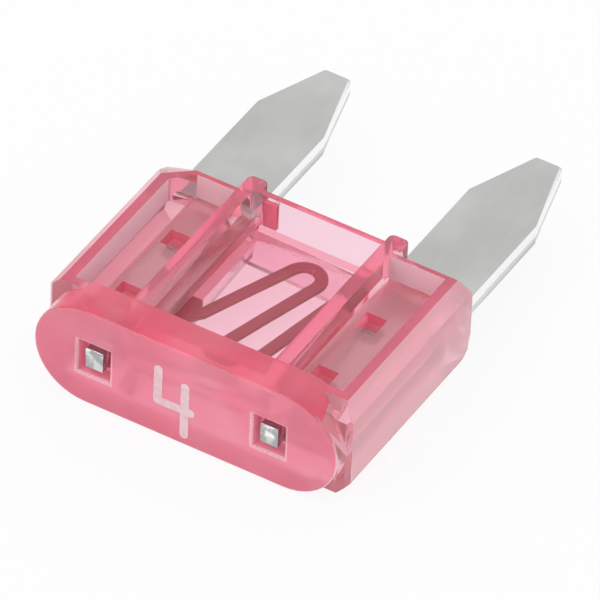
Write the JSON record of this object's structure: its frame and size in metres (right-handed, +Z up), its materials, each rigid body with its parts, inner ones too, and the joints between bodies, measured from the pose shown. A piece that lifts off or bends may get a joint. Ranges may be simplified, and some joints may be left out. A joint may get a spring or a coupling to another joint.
{
  "type": "automotive blade fuse",
  "caption": "Miniature plug-in blade fuse: a translucent moulded housing around a stamped metal strip with flat blades, a thin S-shaped link behind a window and test points in the head.",
  "frame": {"origin": "on the surface the fuse lies on, under the middle of its bounding box", "axes": "+X across the two blades, to the right as the numeral reads; +Y from the head to the blade tips; +Z up, out of the broad face"},
  "size_m": [0.0116, 0.0164, 0.0039],
  "materials": {
    "housing": "glossy translucent pink",
    "fuse_element": "satin plated, with brighter sheared edges",
    "rating_mark": "matt printed ink"
  },
  "bodies": {
    "root": {"housing": "housing", "fuse_element": "fuse_element", "rating_mark": "rating_mark"}
  },
  "joints": []
}
